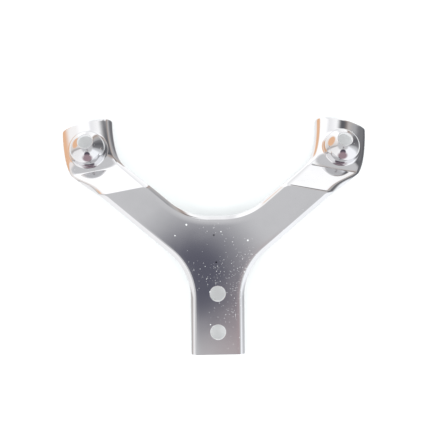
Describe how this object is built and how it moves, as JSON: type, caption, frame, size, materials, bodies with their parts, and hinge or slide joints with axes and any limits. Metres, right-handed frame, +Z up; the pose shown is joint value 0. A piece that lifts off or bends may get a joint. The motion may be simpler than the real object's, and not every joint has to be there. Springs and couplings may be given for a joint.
{
  "type": "moped fender bracket",
  "caption": "Chrome-plated sheet bracket for a moped fender: a Y-shaped web with rolled edges, a stem with bolt holes, and stepped ears with raised domes.",
  "frame": {"origin": "on the surface the bracket lies on, under the middle of its outline", "axes": "+X to the right-hand ear, +Y from the stem towards the ears, +Z up out of the good face as it lies"},
  "size_m": [0.1316, 0.1024, 0.0171],
  "materials": {
    "chrome": "bright plating with fine dust and light specks"
  },
  "bodies": {
    "root": {"bracket": "chrome"}
  },
  "joints": []
}
